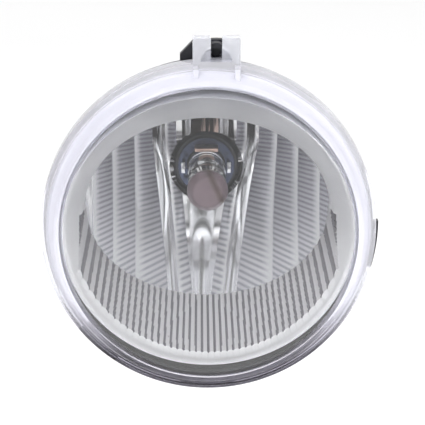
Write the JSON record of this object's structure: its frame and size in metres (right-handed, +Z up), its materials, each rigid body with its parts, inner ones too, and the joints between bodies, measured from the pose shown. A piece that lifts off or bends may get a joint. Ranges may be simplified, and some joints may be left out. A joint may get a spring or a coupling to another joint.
{
  "type": "fog light",
  "caption": "Round automotive fog light: clear domed lens, satin ribbed bezel, fluted chrome bowl, capped twist-lock bulb and a top aiming screw.",
  "frame": {"origin": "centre of the pivot bore in the lug under the housing", "axes": "+Z up, the lamp faces -Y and its optical axis runs along Y, +X along the pivot bore towards the left side of the vehicle as the lamp looks forwards"},
  "size_m": [0.0971, 0.1054, 0.1101],
  "materials": {
    "clear_lens": "clear polycarbonate, polished face, light haze on the skirt",
    "sealant": "grey butyl sealant, matt",
    "satin_bezel": "satin aluminised plastic",
    "chrome_reflector": "vacuum-metallised, mirror bright",
    "black_housing": "moulded black plastic, semi-gloss",
    "steel": "zinc-plated steel",
    "bulb_glass": "clear hard glass",
    "bulb_cap": "dark purple-brown anti-glare coating",
    "filament": "tungsten wire",
    "copper": "copper strip",
    "black_base": "moulded black thermoplastic",
    "rubber_seal": "black rubber",
    "brass_blade": "tinned brass",
    "white_nylon": "natural nylon",
    "vent_membrane": "white micro-porous membrane"
  },
  "bodies": {
    "lamp": {"lens": "clear_lens", "lens_seal": "sealant", "bezel": "satin_bezel", "reflector": "chrome_reflector", "housing": "black_housing", "bezel_screws": "steel", "reflector_screws": "steel", "pivot_bushing": "white_nylon", "vent_cap": "rubber_seal", "vent_membrane": "vent_membrane"},
    "bulb": {"bulb_glass": "bulb_glass", "bulb_cap": "bulb_cap", "bulb_holder": "steel", "bulb_strap": "copper", "bulb_base": "black_base", "bulb_oring": "rubber_seal", "bulb_terminals": "brass_blade", "bulb_filament": "filament", "bulb_lead_wires": "steel"},
    "aim_screw": {"aim_screw": "black_housing", "aim_retainer": "steel"},
    "aim_nut": {"aim_nut": "white_nylon"}
  },
  "joints": [
    {"name": "bulb_twist", "type": "hinge", "parent": "lamp", "child": "bulb", "pos_m": [0, 0.0285, 0.0545], "axis": [0, 1, 0], "range_deg": [0, 45]},
    {"name": "aim_screw_turn", "type": "hinge", "parent": "lamp", "child": "aim_screw", "pos_m": [0.0023, -0.014, 0.0984], "axis": [0, 1, 0], "range_deg": [-1080, 1080]},
    {"name": "aim_nut_travel", "type": "slide", "parent": "lamp", "child": "aim_nut", "axis": [0, -1, 0], "range_m": [-0.0024, 0.0024]}
  ],
  "couplings": [
    {"joint": "aim_screw_turn", "follows": "aim_nut_travel", "rad_per_m": 7854}
  ]
}
